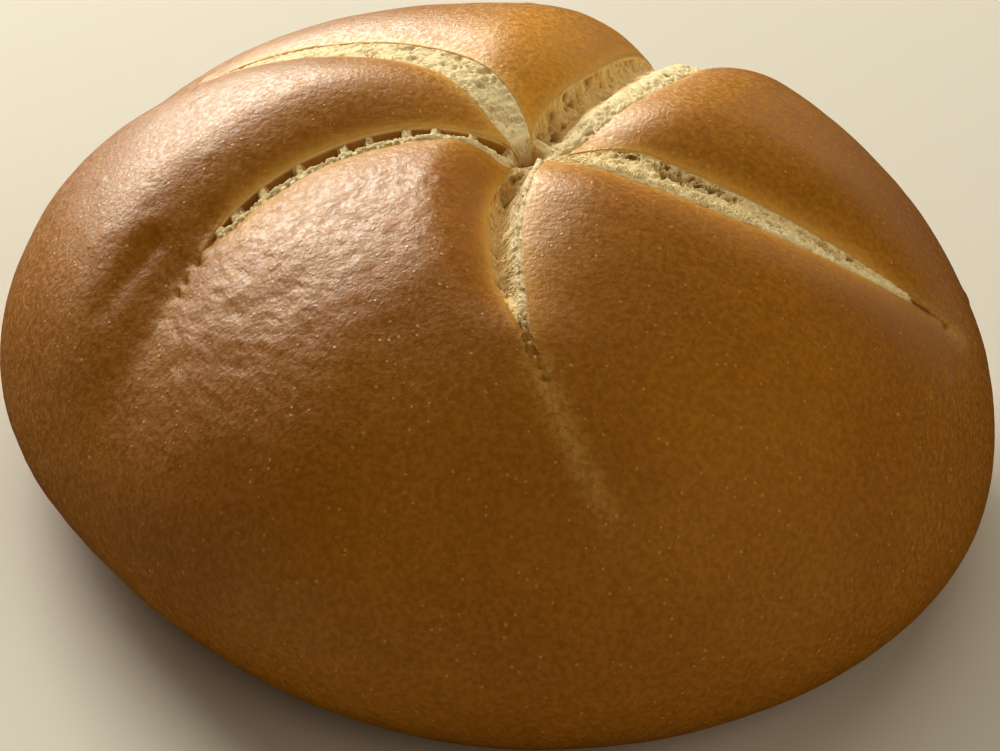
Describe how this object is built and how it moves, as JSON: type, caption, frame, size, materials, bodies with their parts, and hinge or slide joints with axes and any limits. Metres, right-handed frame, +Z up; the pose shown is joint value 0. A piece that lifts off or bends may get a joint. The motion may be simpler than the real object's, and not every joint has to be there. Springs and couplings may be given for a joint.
{
  "type": "kaiser roll",
  "caption": "Round domed bread roll with a flat base, its top split by curved slits that swirl out from the crown and show pale crumb.",
  "frame": {"origin": "on the flat base, straight under the point where the slits meet", "axes": "+Z up through the crown; -Y to the side that faces the camera; +X to the right"},
  "size_m": [0.1057, 0.106, 0.0491],
  "materials": {
    "crust": "browned bread crust, satin, with pale crumb in the slits"
  },
  "bodies": {
    "root": {"roll": "crust"}
  },
  "joints": []
}
